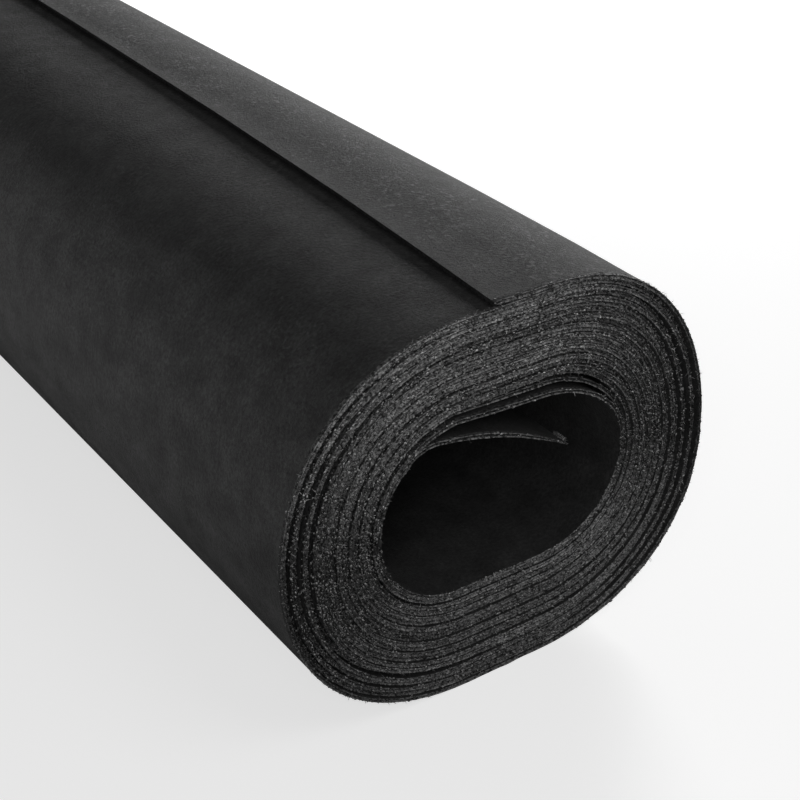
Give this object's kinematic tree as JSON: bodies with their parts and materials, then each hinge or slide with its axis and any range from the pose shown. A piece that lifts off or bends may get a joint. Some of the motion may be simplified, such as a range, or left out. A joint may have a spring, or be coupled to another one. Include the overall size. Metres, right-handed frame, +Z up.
{
  "type": "roll of roofing felt",
  "caption": "Flattened roll of dark roofing felt lying on its side, with an open bore, wound turns showing on both ends and the sheet's two loose ends standing free.",
  "frame": {"origin": "middle of the underside, on the surface that the roll lies on", "axes": "+Y along the roll, +Z up, +X across it. The front end, seen along +Y, winds inwards clockwise"},
  "size_m": [0.2136, 1, 0.1795],
  "materials": {
    "felt": "matte charcoal felt, mottled on its faces, with fibrous cut edges"
  },
  "bodies": {
    "root": {"felt_roll": "felt"}
  },
  "joints": []
}
